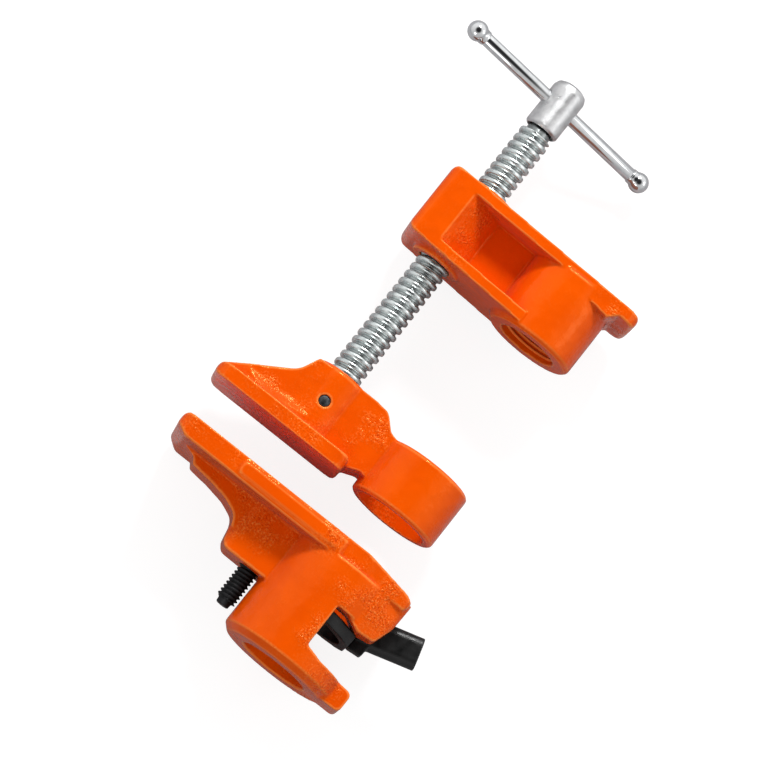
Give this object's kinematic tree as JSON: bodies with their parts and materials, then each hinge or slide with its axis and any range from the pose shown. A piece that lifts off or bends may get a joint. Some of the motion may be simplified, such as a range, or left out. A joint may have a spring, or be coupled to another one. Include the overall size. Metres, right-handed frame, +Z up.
{
  "type": "pipe clamp fixture",
  "caption": "Pipe clamp set: threaded head with a coarse screw and sliding T-bar, a sliding jaw with a pipe ring, and a tail stop that grips the pipe with a tilting clutch plate.",
  "frame": {"origin": "on the pipe's axis, at the mouth of the head's threaded pipe socket", "axes": "+X along the pipe's axis towards the T-handle, +Y from the pipe to the jaw tips, +Z up, square to the side that the clamp lies on"},
  "size_m": [0.2403, 0.1313, 0.048],
  "materials": {
    "orange_paint": "gloss paint over cast iron",
    "zinc_plate": "zinc plate",
    "cast_nickel": "cast and nickel plated",
    "bright_chrome": "bright chrome plate",
    "black_oxide": "black oxide, oiled"
  },
  "bodies": {
    "head": {"head_casting": "orange_paint"},
    "jaw": {"jaw_casting": "orange_paint", "jaw_pin": "black_oxide"},
    "screw": {"main_screw": "zinc_plate", "handle_hub": "cast_nickel"},
    "handle": {"handle_bar": "bright_chrome", "handle_ball_a": "bright_chrome", "handle_ball_b": "bright_chrome"},
    "tail": {"tail_casting": "orange_paint", "stop_bolt": "black_oxide", "clutch_spring": "zinc_plate"},
    "clutch": {"clutch_plate": "black_oxide", "release_lever": "black_oxide"}
  },
  "joints": [
    {"name": "jaw_slide", "type": "slide", "parent": "head", "child": "jaw", "axis": [1, 0, 0], "range_m": [-0.018, 0.054]},
    {"name": "screw_turn", "type": "hinge", "parent": "jaw", "child": "screw", "pos_m": [0, 0.0455, 0], "axis": [1, 0, 0], "range_deg": [-1852, 5556]},
    {"name": "bar_slide", "type": "slide", "parent": "screw", "child": "handle", "axis": [0, 0.9455, 0.3256], "range_m": [-0.031, 0.031]},
    {"name": "tail_slide", "type": "slide", "parent": "head", "child": "tail", "axis": [1, 0, 0], "range_m": [-0.2, 0]},
    {"name": "clutch_rock", "type": "hinge", "parent": "tail", "child": "clutch", "pos_m": [-0.1259, -0.0155, 0], "axis": [0, 0, 1], "range_deg": [0, 12], "stiffness_Nm_per_rad": 0.1, "springref_deg": -22.92, "deforming": ["clutch_spring"]}
  ],
  "couplings": [
    {"joint": "screw_turn", "follows": "jaw_slide", "rad_per_m": 1795.2}
  ]
}
